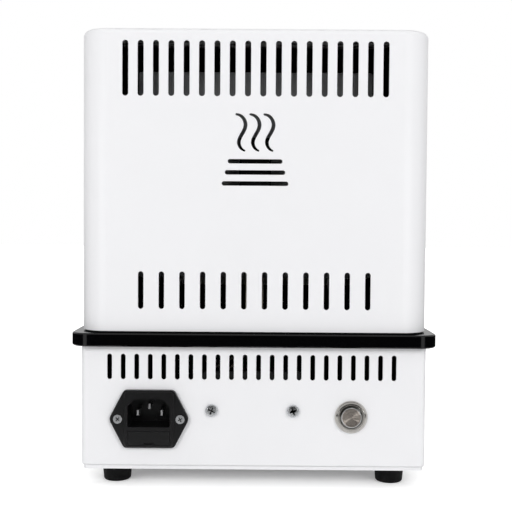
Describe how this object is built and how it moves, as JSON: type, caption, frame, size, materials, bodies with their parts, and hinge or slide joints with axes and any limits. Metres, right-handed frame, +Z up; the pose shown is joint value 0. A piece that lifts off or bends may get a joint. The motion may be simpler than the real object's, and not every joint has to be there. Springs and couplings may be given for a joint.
{
  "type": "dental glazing furnace",
  "caption": "Small bench furnace for glazing dental crowns: white vented steel casing on a black plate and a white base with mains inlet, push button and rubber feet, with a hinged front door.",
  "frame": {"origin": "middle of the outer box, on the table that the feet stand on", "axes": "+Z up, +Y to the back with the mains inlet, -Y to the door, +X to the left as seen from behind"},
  "size_m": [0.2134, 0.2548, 0.2676],
  "materials": {
    "white_paint": "satin",
    "black_gloss": "gloss",
    "black_rubber": "matte",
    "zinc_steel": "satin",
    "stainless": "satin",
    "spun_steel": "satin",
    "nickel": "satin",
    "dark_sheet": "matte",
    "fibre_board": "matte",
    "rope_seal": "matte",
    "quartz": "gloss",
    "heating_wire": "matte",
    "ceramic": "matte",
    "brass": "satin",
    "magnet": "satin",
    "black_plastic": "satin",
    "black_glass": "gloss",
    "circuit_board": "satin",
    "lead_grey": "satin",
    "lead_white": "matte",
    "lead_green": "satin"
  },
  "bodies": {
    "furnace": {"upper_casing": "white_paint", "casing_gasket": "black_rubber", "casing_screws": "zinc_steel", "front_frame": "stainless", "front_screws": "zinc_steel", "core_can": "dark_sheet", "can_legs": "zinc_steel", "insulation_floor": "fibre_board", "insulation_roof": "fibre_board", "insulation_sides": "fibre_board", "insulation_back": "fibre_board", "heating_tubes": "quartz", "heater_elements": "heating_wire", "tube_supports": "ceramic", "tube_caps": "ceramic", "bus_bars": "stainless", "thermocouple": "ceramic", "thermocouple_head": "black_plastic", "hearth_plate": "ceramic", "hinge_brackets": "stainless", "hinge_pins": "stainless", "trim_plate": "black_gloss", "plate_screws": "zinc_steel", "plate_grommet": "black_rubber", "base_shell": "white_paint", "bottom_cover": "white_paint", "base_screws": "zinc_steel", "rubber_feet": "black_rubber", "foot_screws": "zinc_steel", "inlet_body": "black_plastic", "inlet_pins": "nickel", "inlet_screws": "zinc_steel", "switch_bezel": "stainless", "switch_nut": "stainless", "switch_body": "black_plastic", "relay": "black_plastic", "relay_screws": "zinc_steel", "display_glass": "black_glass", "display_module": "dark_sheet", "control_board": "circuit_board", "power_supply": "circuit_board", "base_leads": "lead_grey", "heater_leads": "lead_white", "thermocouple_lead": "lead_green"},
    "door": {"door_shell": "white_paint", "door_filling": "fibre_board", "door_liner": "stainless", "liner_screws": "zinc_steel", "door_plug": "fibre_board", "door_seal": "rope_seal", "door_handle": "stainless", "handle_posts": "stainless", "handle_screws": "zinc_steel", "hinge_blocks": "brass", "door_magnets": "magnet"},
    "power_cap": {"switch_button": "spun_steel"},
    "fuse_carrier": {"fuse_drawer": "black_plastic", "fuses": "quartz"},
    "tray": {"firing_tray": "ceramic", "firing_pegs": "heating_wire"}
  },
  "joints": [
    {"name": "door_hinge", "type": "hinge", "parent": "furnace", "child": "door", "pos_m": [-0.07, -0.08438, 0.185], "axis": [0, 0, -1], "range_deg": [0, 110]},
    {"name": "power_press", "type": "slide", "parent": "furnace", "child": "power_cap", "axis": [0, -1, 0], "range_m": [0, 0.002], "stiffness_N_per_m": 300},
    {"name": "fuse_pull", "type": "slide", "parent": "furnace", "child": "fuse_carrier", "axis": [0, 1, 0], "range_m": [0, 0.018]},
    {"name": "tray_lift", "type": "slide", "parent": "furnace", "child": "tray", "axis": [0, 0, 1], "range_m": [0, 0.012]}
  ]
}
